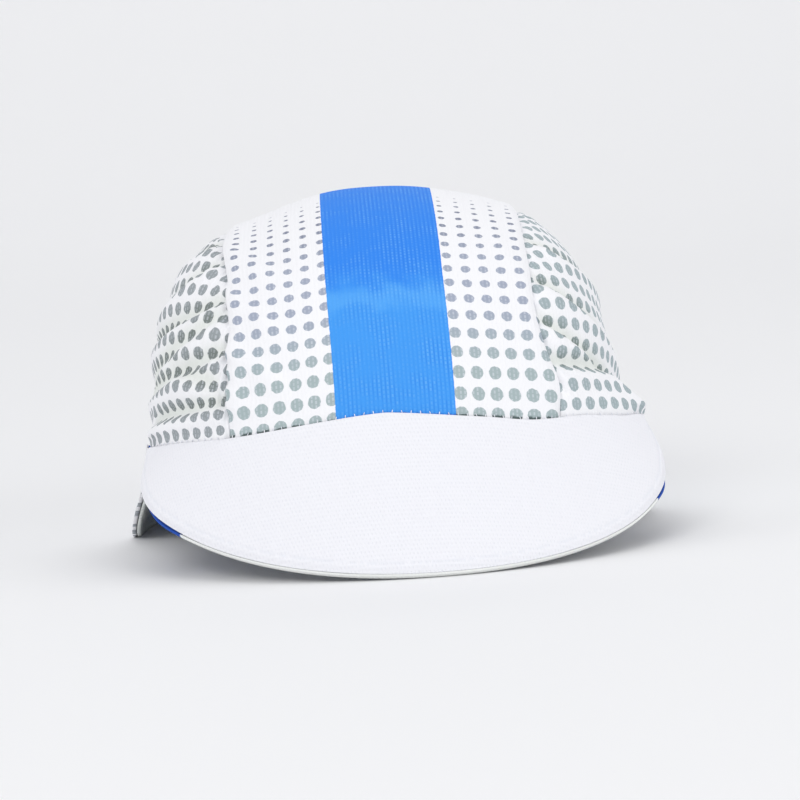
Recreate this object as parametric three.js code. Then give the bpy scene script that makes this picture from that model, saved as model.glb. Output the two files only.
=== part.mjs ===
// A soft cycling cap as it keeps its worn shape when it is set down: three crown panels, a peak
// in two cloth layers and the hem inside the rim. Millimetres, +Z up, standing on z = 0.
// The peak points along -Y, and +X is the wearer's left.

import * as THREE from 'three';

// Cloth
const clothWall = 1.4; // one layer of knit, with its seam allowance
const seamGap = 0.3; // between pieces that are sewn to each other

// Crown, measured on its outside
const crownHalfWidth = 82;
const crownFront = 98; // from the middle of the crown to the forehead
const crownBack = 99;
const crownRise = 88; // from the widest level to the top
const crownDrop = 150; // how slowly the wall draws in below the widest level
const crownCentreHeight = 32; // widest level above the floor
const crownLean = 8; // degrees that the head's axis leans forward on the floor
const frontSquareness = 2.6; // exponent of the outline seen from the front
const sideSquareness = 2.1; // exponent of the outline seen from the side

// Seams of the centre panel: degrees round the side outline from the front, and how far each seam
// is from the middle, as a share of the crown's half width
const centreSeams = [
  { angle: 0, left: 0.64, right: 0.7 },
  { angle: 9, left: 0.64, right: 0.71 },
  { angle: 18, left: 0.64, right: 0.715 },
  { angle: 25, left: 0.632, right: 0.68 },
  { angle: 33, left: 0.622, right: 0.65 },
  { angle: 48, left: 0.624, right: 0.638 },
  { angle: 65, left: 0.64, right: 0.628 },
  { angle: 90, left: 0.65, right: 0.62 },
  { angle: 140, left: 0.6, right: 0.6 },
  { angle: 200, left: 0.56, right: 0.56 },
];
const seamStep = 0.7; // how far the centre panel stands over the side panels along the seam
const seamRoll = 9; // width of the strip where it does

// Peak: straight from the front seam to an edge line that lies on a cone round an upright axis
const peakDepth = 59; // at the middle, from the crown to the edge
const peakSlope = 61.5; // degrees below the horizontal
const peakRound = 93; // radius of the cone at the middle of the front seam
const seamDrop = 13.7; // how much lower the front seam is at the peak's ends
const seamDropPower = 1.3;
const peakShift = 3.5; // the peak sits this far towards the wearer's left
const peakSkew = 13.5; // and its edge leans this far further
const peakOverhang = { left: 4, right: 1 }; // how far the edge stands out between its tips and its middle
const peakSquareness = 2.15; // exponent of the edge line
const peakTipTurn = 61; // where the peak ends, in degrees from the front
const peakTuck = 6; // the crown's edge reaches this far down behind the peak
const peakTopWall = 1.6;
const peakUnderWall = 1.2;
const peakEdgeRoll = 3.5; // strip along the edge where the top cloth rolls down
const peakEdgeDrop = 0.9;
const peakTipWall = 0.65; // share of the layers' thickness that is left at the tips
const peakTipReach = 25; // they are full where the peak is this deep

// How the rim stands out of the plain crown, on each side
const rimForm = {
  left: { ear: 12, corner: 3 },
  right: { ear: 10, corner: 9.5 },
};
const earAngle = 94; // where the rim comes down to the floor, in degrees from the front
const earHeight = 40;
const earSpread = 40; // degrees
const cornerHeight = 8; // above the peak's ends, where the flare runs out
const cornerSpread = 17; // degrees
const hemHeight = 13;
const hemWall = 1.2;

// Gathers that the elastic draws into the back of the rim
const gatherPitch = 24;
const gatherDepth = 1.3;
const gatherHeight = 30;
const gatherStart = 122; // degrees from the front

// Places where the crown is sunk, or stands out where the depth is negative. Across is a share of the crown's half width, along is
// in degrees round the side outline from the front.
const topDents = [
  { across: -0.46, acrossSpread: 0.22, along: 88, alongSpread: 42, depth: 2.4 },
  { across: 0.36, acrossSpread: 0.2, along: 88, alongSpread: 42, depth: 1.2 },
  { across: -0.88, acrossSpread: 0.22, along: 72, alongSpread: 45, depth: -2.6 },
];

// Folds of the side panels. Each starts at a share of the seam's length and has moved on by slant
// when it reaches the rim. Width is in the same shares, reach is a share of the way to the rim.
const sideFolds = {
  left: [
    { start: 0.05, slant: 0.05, width: 0.022, lift: 1.4, reach: 0.9 },
    { start: 0.12, slant: 0.1, width: 0.026, lift: 1.9, reach: 0.95 },
    { start: 0.2, slant: 0.14, width: 0.028, lift: 2.0, reach: 0.85 },
    { start: 0.29, slant: 0.16, width: 0.028, lift: 1.5, reach: 0.75 },
  ],
  right: [
    { start: 0.07, slant: 0.06, width: 0.026, lift: 1.6, reach: 0.9 },
    { start: 0.15, slant: 0.1, width: 0.028, lift: 2.1, reach: 0.95 },
    { start: 0.24, slant: 0.13, width: 0.03, lift: 1.8, reach: 0.8 },
    { start: 0.34, slant: 0.15, width: 0.03, lift: 1.3, reach: 0.7 },
  ],
};
const ledge = { height: 7, width: 4.5, lift: 2, reach: 0.3 }; // cloth rolled over the peak's seam

// Steps of the facets
const centreColumns = 20;
const centreRows = 30;
const sideColumns = 34;
const sideRows = 18;
const peakColumns = 40;
const peakRows = 7;
const hemColumns = 72;

const rad = THREE.MathUtils.degToRad;
const deg = THREE.MathUtils.radToDeg;
const smooth = (x) => THREE.MathUtils.smoothstep(x, 0, 1);
const bell = (x) => Math.exp(-x * x);
const up = new THREE.Vector3(0, 0, 1);
const crownCentre = new THREE.Vector3(0, 0, crownCentreHeight);
const sideName = (side) => (side < 0 ? 'left' : 'right');

// Halves the span until the test changes sign. The test is negative at low and positive at high.
function solve(low, high, test) {
  for (let i = 0; i < 40; i++) {
    const middle = (low + high) / 2;
    if (test(middle) < 0) low = middle;
    else high = middle;
  }
  return (low + high) / 2;
}

// Crown surface. Its gauge is 1 on the plain outside, under 1 inside and over 1 outside.
function crownGauge(point) {
  const x = point.x;
  const y = point.y * Math.cos(rad(crownLean)) + (point.z - crownCentreHeight) * Math.sin(rad(crownLean));
  const z = -point.y * Math.sin(rad(crownLean)) + (point.z - crownCentreHeight) * Math.cos(rad(crownLean));
  const depth = y < 0 ? crownFront : crownBack;
  const rise = z > 0 ? crownRise : crownDrop;
  const side = (Math.abs(y / depth) ** sideSquareness + Math.abs(z / rise) ** sideSquareness) ** (1 / sideSquareness);
  return (Math.abs(x / crownHalfWidth) ** frontSquareness + side ** frontSquareness) ** (1 / frontSquareness);
}

function crownNormal(point) {
  const step = 0.05;
  const slope = (axis) => {
    const ahead = point.clone();
    const behind = point.clone();
    ahead[axis] += step;
    behind[axis] -= step;
    return crownGauge(ahead) - crownGauge(behind);
  };
  return new THREE.Vector3(slope('x'), slope('y'), slope('z')).normalize();
}

// Plain crown point in the direction of a turn from the front and a climb from the widest level
function pointAtTurn(turn, climb) {
  const direction = new THREE.Vector3(
    Math.sin(turn) * Math.cos(climb),
    -Math.cos(turn) * Math.cos(climb),
    Math.sin(climb),
  );
  return direction.multiplyScalar(1 / crownGauge(direction.clone().add(crownCentre))).add(crownCentre);
}

// Plain crown point on the upright section at x, at an angle round the side outline from the front
function pointAtSection(x, angle) {
  const share = (1 - Math.abs(x / crownHalfWidth) ** frontSquareness) ** (1 / frontSquareness);
  const direction = new THREE.Vector3(0, -Math.cos(angle), Math.sin(angle));
  const length = share / crownGauge(direction.clone().add(crownCentre));
  return new THREE.Vector3(x, direction.y * length, crownCentreHeight + direction.z * length);
}

const turnOf = (point) => Math.atan2(point.x, -point.y);

// Peak surface. It touches the floor at the middle of its edge.
const peakThickness = peakTopWall + seamGap + peakUnderWall;
const peakSin = Math.sin(rad(peakSlope));
const peakCos = Math.cos(rad(peakSlope));
const peakSeatHeight = peakDepth * peakSin + peakThickness * peakCos;
const peakSeatAngle = solve(-0.3, 1, (angle) => pointAtSection(0, angle).z - peakSeatHeight);
const peakAxis = pointAtSection(0, peakSeatAngle).add(new THREE.Vector3(peakShift, peakRound, 0));

// Turn round the peak's axis, way down the cone and lift off it, of a point and back again
function conePatternOf(point) {
  const arm = point.clone().sub(peakAxis);
  const radius = Math.hypot(arm.x, arm.y) - peakRound;
  const height = point.z - peakSeatHeight;
  return {
    turn: Math.atan2(arm.x, -arm.y),
    way: radius * peakCos - height * peakSin,
    lift: radius * peakSin + height * peakCos,
  };
}

function conePoint(turn, way, lift) {
  const radius = peakRound + way * peakCos + lift * peakSin;
  const height = peakSeatHeight - way * peakSin + lift * peakCos;
  return new THREE.Vector3(
    peakAxis.x + radius * Math.sin(turn),
    peakAxis.y - radius * Math.cos(turn),
    height,
  );
}

// Height of the front seam at a turn from the front
const seamHeight = (turn) => peakSeatHeight - seamDrop * (Math.abs(deg(turn)) / peakTipTurn) ** seamDropPower;

// How far a point is over a line that is tucked under the front seam and comes down to the floor
function overLine(point, tuck) {
  const turn = Math.abs(deg(turnOf(point)));
  const share = Math.max(turn - peakTipTurn, 0) / (earAngle - peakTipTurn);
  return point.z - (seamHeight(rad(Math.min(turn, peakTipTurn))) - tuck) * smooth(1 - share);
}

const overSeam = (point) => overLine(point, 0);
const overRim = (point) => overLine(point, peakTuck);

// Forms that stand out of the plain crown
function bulge(point) {
  const turn = Math.abs(deg(turnOf(point)));
  const form = rimForm[sideName(point.x)];
  const ear = form.ear * bell((turn - earAngle) / earSpread) * smooth(1 - point.z / earHeight);
  const overTip = Math.max(overSeam(point), 0) / cornerHeight;
  return ear + form.corner * bell((turn - peakTipTurn) / cornerSpread) * bell(overTip);
}

function gathers(point) {
  const turn = Math.abs(turnOf(point));
  const distance = crownBack * (Math.PI - turn);
  const band = smooth((deg(turn) - gatherStart) / 20);
  return gatherDepth * Math.cos((2 * Math.PI * distance) / gatherPitch) * band * smooth(1 - point.z / gatherHeight);
}

function sunk(point) {
  const across = point.x / crownHalfWidth;
  const along = deg(Math.atan2(point.z - crownCentreHeight, -point.y));
  const depths = topDents.map(
    (dent) =>
      dent.depth *
      bell((across - dent.across) / dent.acrossSpread) *
      bell((along - dent.along) / dent.alongSpread) *
      smooth((point.z - crownCentreHeight) / crownRise),
  );
  return depths.reduce((total, depth) => total + depth, 0);
}

// Lift of the folds at a share along the side panel and a share of the way from its seam to its rim
function folds(side, share, way, height) {
  let total = 0;
  for (const fold of sideFolds[sideName(side)]) {
    const off = (share - fold.start - fold.slant * way) / fold.width;
    total += fold.lift * bell(off) * smooth(4 * (fold.reach - way)) * smooth(way / 0.12);
  }
  const roll = ledge.lift * bell((height - ledge.height) / ledge.width) * smooth((ledge.reach - share) / 0.08);
  return (total + roll) * smooth(height / 4) * smooth(share / 0.04);
}

// Distance of a seam of the centre panel from the middle, at an angle round the side outline
const seamLines = Object.fromEntries(
  ['left', 'right'].map((name) => [
    name,
    new THREE.CubicInterpolant(
      centreSeams.map((row) => rad(row.angle)),
      centreSeams.map((row) => row[name] * crownHalfWidth),
      1,
    ),
  ]),
);
const centreHalf = (side, angle) => seamLines[sideName(side)].evaluate(Math.max(angle, 0))[0];

// How far a panel stands out along its seam. It runs out at the front seam and at the rim.
function stepAt(plain, fromSeam) {
  return seamStep * smooth(1 - fromSeam / seamRoll) * smooth(overSeam(plain) / seamRoll);
}

// Outside of a panel over a plain crown point
function skin(plain, lift = 0) {
  const total = bulge(plain) + gathers(plain) - sunk(plain) + lift;
  return plain.clone().addScaledVector(crownNormal(plain), total);
}

// Crown point at a turn from the front, at a height over a line round the crown
function pointOver(turn, height, heightOf) {
  const at = (climb) => {
    const plain = pointAtTurn(turn, climb);
    return { plain, point: skin(plain), turn };
  };
  return at(solve(-1.2, 0.8, (climb) => heightOf(at(climb).point) - height));
}

const overRimPoint = (turn, height) => pointOver(turn, height, overRim);

// The peak. Across runs from -1 at its right tip to 1 at its left tip.
const frontSeam = (across) => pointOver(across * rad(peakTipTurn), 0, overSeam);
const edgePower = 2 / peakSquareness;
const tips = Object.fromEntries(
  [-1, 1].map((side) => {
    const cone = conePatternOf(frontSeam(side).point);
    return [sideName(side), { ...cone, end: Math.acos((cone.way / peakDepth) ** (1 / edgePower)) }];
  }),
);

function peakEdge(across) {
  const tip = tips[sideName(across)];
  const angle = tip.end * Math.abs(across);
  const span = (Math.sin(angle) / Math.sin(tip.end)) ** edgePower;
  const depth = Math.cos(angle) ** edgePower;
  const ahead = (depth - Math.cos(tip.end) ** edgePower) * (peakSkew / peakRound);
  const lift = tip.lift * span ** 6 + peakOverhang[sideName(across)] * Math.sin(Math.PI * span ** 3);
  return conePoint(span * tip.turn + ahead, peakDepth * depth, lift);
}

// Directions on the peak: off its surface, and down its slope
function peakFrame(across) {
  const at = THREE.MathUtils.clamp(across, -0.93, 0.93);
  const middle = (value) => frontSeam(value).point.lerp(peakEdge(value), 0.5);
  const round = middle(at + 0.02).sub(middle(at - 0.02));
  const down = peakEdge(at).sub(frontSeam(at).point).normalize();
  return { off: down.clone().cross(round).normalize(), down };
}

// Inside of a wall. At the rim it stays level, so that the cut face is flat.
function inward(outside, plain, wall, atRim) {
  const normal = crownNormal(plain);
  if (!atRim) return outside.clone().addScaledVector(normal, -wall);
  const level = normal.clone().setZ(0);
  return outside.clone().addScaledVector(level, -wall / level.lengthSq());
}

// A closed shell from two grids of points, outside and inside. Collapsed facets are left out.
function shell(columns, rows, outside, inside, turned = false) {
  const points = [];
  const lookup = new Map();
  const indexOf = (point) => {
    const key = point.toArray().map((value) => Math.round(value * 500)).join();
    if (!lookup.has(key)) lookup.set(key, points.push(point) - 1);
    return lookup.get(key);
  };
  const grid = (layer) =>
    Array.from({ length: columns + 1 }, (_, i) =>
      Array.from({ length: rows + 1 }, (_, j) => indexOf(layer[i][j])),
    );
  const outer = grid(outside);
  const inner = grid(inside);
  const triangles = [];
  const triangle = (a, b, c) => {
    if (a !== b && b !== c && c !== a) triangles.push(...(turned ? [a, c, b] : [a, b, c]));
  };
  const quad = (a, b, c, d) => {
    triangle(a, b, c);
    triangle(a, c, d);
  };
  for (let i = 0; i < columns; i++) {
    for (let j = 0; j < rows; j++) {
      quad(outer[i][j], outer[i + 1][j], outer[i + 1][j + 1], outer[i][j + 1]);
      quad(inner[i][j], inner[i][j + 1], inner[i + 1][j + 1], inner[i + 1][j]);
    }
    quad(outer[i + 1][0], outer[i][0], inner[i][0], inner[i + 1][0]);
    quad(outer[i][rows], outer[i + 1][rows], inner[i + 1][rows], inner[i][rows]);
  }
  for (let j = 0; j < rows; j++) {
    quad(outer[0][j], outer[0][j + 1], inner[0][j + 1], inner[0][j]);
    quad(outer[columns][j + 1], outer[columns][j], inner[columns][j], inner[columns][j + 1]);
  }
  const geometry = new THREE.BufferGeometry();
  geometry.setAttribute('position', new THREE.Float32BufferAttribute(points.flatMap((point) => point.toArray()), 3));
  geometry.setIndex(triangles);
  geometry.computeVertexNormals();
  return geometry;
}

const steps = (count) => Array.from({ length: count + 1 }, (_, i) => i / count);

// Ends of an upright section of the crown, as angles round the side outline
function sectionEnds(distanceAt) {
  const at = (angle) => skin(pointAtSection(distanceAt(angle), angle));
  const front = solve(-0.6, 0.6, (angle) => overRim(at(angle)));
  const back = solve(-0.8, 0.6, (angle) => overRim(at(Math.PI - angle)));
  return { first: front, last: Math.PI - back };
}

function centrePanel() {
  const outside = [];
  const inside = [];
  for (const share of steps(centreColumns)) {
    const across = 2 * share - 1;
    const distanceAt = (angle) => across * (centreHalf(across, angle) - seamGap / 2);
    const fromSeam = (1 - Math.abs(across)) * centreHalf(across, 0);
    const { first, last } = sectionEnds(distanceAt);
    const outsideColumn = [];
    const insideColumn = [];
    steps(centreRows).forEach((way, row) => {
      const angle = first + (last - first) * way;
      const plain = pointAtSection(distanceAt(angle), angle);
      const point = skin(plain, stepAt(plain, fromSeam));
      outsideColumn.push(point);
      insideColumn.push(inward(point, plain, clothWall, row === 0 || row === centreRows));
    });
    outside.push(outsideColumn);
    inside.push(insideColumn);
  }
  return shell(centreColumns, centreRows, outside, inside);
}

// Side panel, from the seam down to the rim. side is 1 on +X and -1 on -X.
function sidePanel(side) {
  const distanceAt = (angle) => side * (centreHalf(side, angle) + seamGap / 2);
  const { first, last } = sectionEnds(distanceAt);
  const seamAt = (share) => {
    const angle = first + (last - first) * share;
    return pointAtSection(distanceAt(angle), angle);
  };
  const startTurn = turnOf(seamAt(0));
  const endTurn = turnOf(seamAt(1));
  const outside = [];
  const inside = [];
  for (const share of steps(sideColumns)) {
    const seamArm = seamAt(share).sub(crownCentre).normalize();
    const turn = startTurn + (endTurn - startTurn) * share;
    const rimArm = overRimPoint(turn, 0).plain.sub(crownCentre).normalize();
    const outsideColumn = [];
    const insideColumn = [];
    steps(sideRows).forEach((way, row) => {
      const arm = seamArm.clone().lerp(rimArm, way).normalize();
      const plain = arm.multiplyScalar(1 / crownGauge(arm.clone().add(crownCentre))).add(crownCentre);
      const drop = way * seamArm.distanceTo(rimArm) * crownHalfWidth;
      const lift = folds(side, share, way, overSeam(skin(plain)));
      const point = skin(plain, lift - stepAt(plain, drop));
      outsideColumn.push(point);
      insideColumn.push(inward(point, plain, clothWall, row === sideRows));
    });
    if (share === 0 || share === 1) {
      outsideColumn.fill(outsideColumn[0]);
      insideColumn.fill(inward(outsideColumn[0], seamAt(share), clothWall, true));
    }
    outside.push(outsideColumn);
    inside.push(insideColumn);
  }
  return shell(sideColumns, sideRows, outside, inside, side > 0);
}

// How far a point is outside the crown, on the level
function offCrown(point) {
  const { point: beside } = pointOver(turnOf(point), point.z, (at) => at.z);
  return Math.hypot(point.x, point.y) - Math.hypot(beside.x, beside.y);
}

// A layer of the peak, between two depths under its top surface. Its root is cut to the crown.
function peakLayer(high, low, rolled) {
  const outside = [];
  const inside = [];
  for (const column of steps(peakColumns)) {
    const across = 2 * column - 1;
    const seam = frontSeam(across);
    const edge = peakEdge(across);
    const { off, down } = peakFrame(across);
    const out = seam.point.clone().setZ(0).normalize();
    const reach = seam.point.distanceTo(edge);
    const wallShare = peakTipWall + (1 - peakTipWall) * smooth(reach / peakTipReach);
    const rootAt = (thick) => {
      const base = seam.point.clone().addScaledVector(off, -thick);
      const at = (way) => base.clone().addScaledVector(down, way);
      return at(solve(0, reach / 2, (way) => offCrown(at(way)) - seamGap / peakSin));
    };
    const clear = Math.max((2.2 * seamGap) / peakSin - offCrown(rootAt(peakThickness * wallShare)), 0);
    const layer = (depth) => {
      const root = rootAt(depth * wallShare).addScaledVector(out, clear);
      const end = edge.clone().addScaledVector(off, -depth * wallShare).addScaledVector(out, clear);
      return steps(peakRows).map((way) => root.clone().lerp(end, way));
    };
    const top = layer(high);
    if (rolled) {
      top.forEach((point) => {
        const inset = point.distanceTo(top[peakRows]);
        point.addScaledVector(off, -peakEdgeDrop * wallShare * smooth(1 - inset / peakEdgeRoll));
      });
    }
    outside.push(top);
    inside.push(layer(low));
  }
  return shell(peakColumns, peakRows, outside, inside, true);
}

function hemBand() {
  const outside = [];
  const inside = [];
  const first = rad(peakTipTurn);
  const last = 2 * Math.PI - first;
  for (const share of steps(hemColumns)) {
    const turn = -(first + (last - first) * share);
    const outsideColumn = [];
    const insideColumn = [];
    const slack = clothWall + seamGap + seamStep;
    for (const height of [hemHeight, 0]) {
      const { plain, point } = overRimPoint(turn, height);
      outsideColumn.push(inward(point, plain, slack, height === 0));
      insideColumn.push(inward(point, plain, slack + hemWall, height === 0));
    }
    outside.push(outsideColumn);
    inside.push(insideColumn);
  }
  return shell(hemColumns, 1, outside, inside, false);
}

function cloth(name, geometry, colour, roughness = 0.85) {
  const material = new THREE.MeshStandardMaterial({ color: colour, roughness, metalness: 0 });
  const mesh = new THREE.Mesh(geometry, material);
  mesh.name = name;
  return mesh;
}

const cap = new THREE.Group();
cap.add(
  cloth('centre_panel', centrePanel(), '#e9ecee'),
  cloth('side_panel_left', sidePanel(-1), '#dfe3e3'),
  cloth('side_panel_right', sidePanel(1), '#dfe3e3'),
  cloth('peak_top', peakLayer(0, peakTopWall, true), '#f4f4f8'),
  cloth('peak_under', peakLayer(peakTopWall + seamGap, peakThickness, false), '#2a5fc4'),
  cloth('hem_band', hemBand(), '#e9ebea'),
);

// The origin is on the floor, under the middle of the cap
const box = new THREE.Box3().setFromObject(cap);
cap.position.set(-(box.min.x + box.max.x) / 2, -(box.min.y + box.max.y) / 2, -box.min.z);

export default cap;
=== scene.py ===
import bmesh
import bpy
import math
import numpy as np
from mathutils import Matrix, Vector


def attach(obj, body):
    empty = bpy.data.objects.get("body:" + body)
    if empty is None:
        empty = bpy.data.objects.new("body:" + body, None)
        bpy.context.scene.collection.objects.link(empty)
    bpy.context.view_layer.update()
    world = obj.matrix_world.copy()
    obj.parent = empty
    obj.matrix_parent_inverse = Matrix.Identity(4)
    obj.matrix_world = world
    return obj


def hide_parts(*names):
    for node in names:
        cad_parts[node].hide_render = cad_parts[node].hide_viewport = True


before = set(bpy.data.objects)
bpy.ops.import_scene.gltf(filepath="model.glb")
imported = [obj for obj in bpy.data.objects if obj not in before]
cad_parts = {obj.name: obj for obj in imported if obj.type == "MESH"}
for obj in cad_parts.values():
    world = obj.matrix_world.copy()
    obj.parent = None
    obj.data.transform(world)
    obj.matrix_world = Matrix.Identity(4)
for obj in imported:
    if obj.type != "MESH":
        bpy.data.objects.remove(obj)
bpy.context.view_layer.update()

# Lengths are in millimetres here and become metres where a mesh is written.
mm = 0.001
toFrame = np.array([-0.0218, 10.4954, 0.0204])  # from the crown's own axes to the frame
rad = math.radians
up = np.array([0.0, 0.0, 1.0])
chartScale = 0.01  # from millimetres of flat cloth to units of the cloth map
mergeDistance = 0.00001


def smooth(x):
    x = np.clip(x, 0, 1)
    return x * x * (3 - 2 * x)


def bell(x):
    return np.exp(-x * x)


# Halves the span until the test changes sign. The test is negative at low and positive at high.
def solve(low, high, test, halvings=26):
    for _ in range(halvings):
        middle = (low + high) / 2
        under = test(middle) < 0
        low = np.where(under, middle, low)
        high = np.where(under, high, middle)
    return (low + high) / 2


def length(arrows):
    return np.sqrt((arrows * arrows).sum(-1))


def unit(arrows):
    return arrows / length(arrows)[..., None]


def point(x, y, z):
    return np.stack(np.broadcast_arrays(x, y, z), -1).astype(float)


def between(start, end, share):
    return start + (end - start) * share


# Crown
crown = {
    "halfWidth": 82,
    "front": 98,
    "back": 99,
    "rise": 88,
    "drop": 150,
    "centreHeight": 32,
    "lean": 8,
    "frontSquareness": 2.6,
    "sideSquareness": 2.1,
    "wall": 1.4,
    "gap": 0.3,
    "seamStep": 0.7,
    "seamRoll": 9,
    "grooveDepth": 1.1,
    "grooveWidth": 1.7,
}
crownCentre = np.array([0.0, 0.0, crown["centreHeight"]])

# Degrees round the side outline, and each seam's distance from the middle as a share of the half width
centreSeams = {
    "angle": [0, 9, 18, 25, 33, 48, 65, 90, 140, 200],
    "left": [0.64, 0.64, 0.64, 0.632, 0.622, 0.624, 0.64, 0.65, 0.6, 0.56],
    "right": [0.7, 0.71, 0.715, 0.68, 0.65, 0.638, 0.628, 0.62, 0.6, 0.56],
}

# How the rim stands out beside the ears and at the peak's corners, left and right
rimForm = {
    "ear": (12, 10),
    "corner": (3, 9.5),
    "earAngle": 94,
    "earHeight": 40,
    "earSpread": 40,
    "cornerHeight": 8,
    "cornerSpread": 17,
    "gatherPitch": 24,
    "gatherDepth": 1.3,
    "gatherHeight": 30,
    "gatherStart": 122,
    "gatherFade": 20,
}

topDents = [
    {"across": -0.46, "acrossSpread": 0.22, "along": 88, "alongSpread": 42, "depth": 2.4},
    {"across": 0.36, "acrossSpread": 0.2, "along": 88, "alongSpread": 42, "depth": 1.2},
    {"across": -0.88, "acrossSpread": 0.22, "along": 72, "alongSpread": 45, "depth": -2.6},
]

peak = {
    "depth": 59,
    "slope": 61.5,
    "round": 93,
    "seamDrop": 13.7,
    "seamDropPower": 1.3,
    "shift": 3.5,
    "skew": 13.5,
    "overhang": (4, 1),
    "squareness": 2.15,
    "tipTurn": 61,
    "tuck": 6,
    "topWall": 1.6,
    "underWall": 1.2,
    "tipWall": 0.65,
    "tipReach": 25,
}


def bySide(values, where):
    return np.where(where < 0, values[0], values[1])


def crownGauge(points):
    lean = rad(crown["lean"])
    x, y0, z0 = np.moveaxis(points - crownCentre, -1, 0)
    y = y0 * math.cos(lean) + z0 * math.sin(lean)
    z = z0 * math.cos(lean) - y0 * math.sin(lean)
    depth = np.where(y < 0, crown["front"], crown["back"])
    rise = np.where(z > 0, crown["rise"], crown["drop"])
    n = crown["sideSquareness"]
    m = crown["frontSquareness"]
    side = (np.abs(y / depth) ** n + np.abs(z / rise) ** n) ** (1 / n)
    return (np.abs(x / crown["halfWidth"]) ** m + side**m) ** (1 / m)


def crownNormal(points):
    step = 0.05
    slopes = [crownGauge(points + step * axis) - crownGauge(points - step * axis) for axis in np.eye(3)]
    return unit(np.stack(slopes, -1))


def onCrown(arms):
    return arms / crownGauge(arms + crownCentre)[..., None] + crownCentre


def pointAtTurn(turn, climb):
    level = np.cos(climb)
    return onCrown(point(np.sin(turn) * level, -np.cos(turn) * level, np.sin(climb)))


def pointAtSection(x, angle):
    m = crown["frontSquareness"]
    share = (1 - np.abs(x / crown["halfWidth"]) ** m) ** (1 / m)
    arm = onCrown(point(0, -np.cos(angle), np.sin(angle))) - crownCentre
    return point(x, arm[..., 1] * share, crown["centreHeight"] + arm[..., 2] * share)


def turnOf(points):
    return np.arctan2(points[..., 0], -points[..., 1])


peakThickness = peak["topWall"] + crown["gap"] + peak["underWall"]
peakSin = math.sin(rad(peak["slope"]))
peakCos = math.cos(rad(peak["slope"]))
peakSeatHeight = peak["depth"] * peakSin + peakThickness * peakCos
seatAngle = solve(-0.3, 1.0, lambda angle: pointAtSection(0.0, angle)[..., 2] - peakSeatHeight)
peakAxis = pointAtSection(0.0, seatAngle) + np.array([peak["shift"], peak["round"], 0])


def seamHeight(turn):
    share = np.abs(np.degrees(turn)) / peak["tipTurn"]
    return peakSeatHeight - peak["seamDrop"] * share ** peak["seamDropPower"]


# How far a point is over a line that is tucked under the front seam and comes down to the floor
def overLine(points, tuck):
    turn = np.abs(np.degrees(turnOf(points)))
    share = np.maximum(turn - peak["tipTurn"], 0) / (rimForm["earAngle"] - peak["tipTurn"])
    line = seamHeight(np.radians(np.minimum(turn, peak["tipTurn"]))) - tuck
    return points[..., 2] - line * smooth(1 - share)


def overSeam(points):
    return overLine(points, 0)


def overRim(points):
    return overLine(points, peak["tuck"])


# How far the crown stands out over the ears and at the peak's corners
def bulge(points):
    x, z = points[..., 0], points[..., 2]
    turn = np.abs(np.degrees(turnOf(points)))
    ear = bySide(rimForm["ear"], x) * bell((turn - rimForm["earAngle"]) / rimForm["earSpread"])
    corner = bySide(rimForm["corner"], x) * bell((turn - peak["tipTurn"]) / rimForm["cornerSpread"])
    overTip = np.maximum(overSeam(points), 0) / rimForm["cornerHeight"]
    return ear * smooth(1 - z / rimForm["earHeight"]) + corner * bell(overTip)


# Gathers along the rear of the rim
def gathers(points):
    turn = np.abs(turnOf(points))
    distance = crown["back"] * (math.pi - turn)
    wave = np.cos(2 * math.pi * distance / rimForm["gatherPitch"])
    behind = smooth((np.degrees(turn) - rimForm["gatherStart"]) / rimForm["gatherFade"])
    low = smooth(1 - points[..., 2] / rimForm["gatherHeight"])
    return rimForm["gatherDepth"] * wave * (behind * low)


# How far the top sinks in
def sunk(points):
    across = points[..., 0] / crown["halfWidth"]
    height = points[..., 2] - crown["centreHeight"]
    along = np.degrees(np.arctan2(height, -points[..., 1]))
    total = 0
    for dent in topDents:
        off = bell((across - dent["across"]) / dent["acrossSpread"])
        total = total + dent["depth"] * off * bell((along - dent["along"]) / dent["alongSpread"])
    return total * smooth(height / crown["rise"])


# Outside of a panel over a plain crown point
def skin(plain, lift=0.0):
    total = bulge(plain) + gathers(plain) - sunk(plain) + lift
    return plain + crownNormal(plain) * np.asarray(total)[..., None]


# The centre panel stands a little over the side panels along their seams
def stepAt(plain, fromSeam):
    roll = crown["seamRoll"]
    return crown["seamStep"] * smooth(1 - fromSeam / roll) * smooth(overSeam(plain) / roll)


# Both panels roll down into the seam between them
def seamGroove(fromSeam):
    return crown["grooveDepth"] * bell(fromSeam / crown["grooveWidth"])


# A smooth curve through a table's values, as the solids use it
def curveThrough(places, values, at):
    places = np.asarray(places, float)
    values = np.asarray(values, float)
    i = np.clip(np.searchsorted(places, at, side="right") - 1, 0, len(places) - 2)
    last = len(places) - 1
    t0, t1 = places[i], places[i + 1]
    before = np.where(i > 0, places[np.maximum(i - 1, 0)], 2 * t0 - t1)
    after = np.where(i + 1 < last, places[np.minimum(i + 2, last)], 2 * t1 - t0)
    valueBefore = np.where(i > 0, values[np.maximum(i - 1, 0)], values[i + 1])
    valueAfter = np.where(i + 1 < last, values[np.minimum(i + 2, last)], values[i])
    half = (t1 - t0) / 2
    wp, wn = half / (t0 - before), half / (after - t1)
    p = np.clip((at - t0) / (t1 - t0), 0, 1)
    p2, p3 = p * p, p * p * p
    return (
        valueBefore * (-wp * p3 + 2 * wp * p2 - wp * p)
        + values[i] * ((1 + wp) * p3 + (-1.5 - 2 * wp) * p2 + (-0.5 + wp) * p + 1)
        + values[i + 1] * ((-1 - wn) * p3 + (1.5 + wn) * p2 + 0.5 * p)
        + valueAfter * (wn * p3 - wn * p2)
    )


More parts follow.
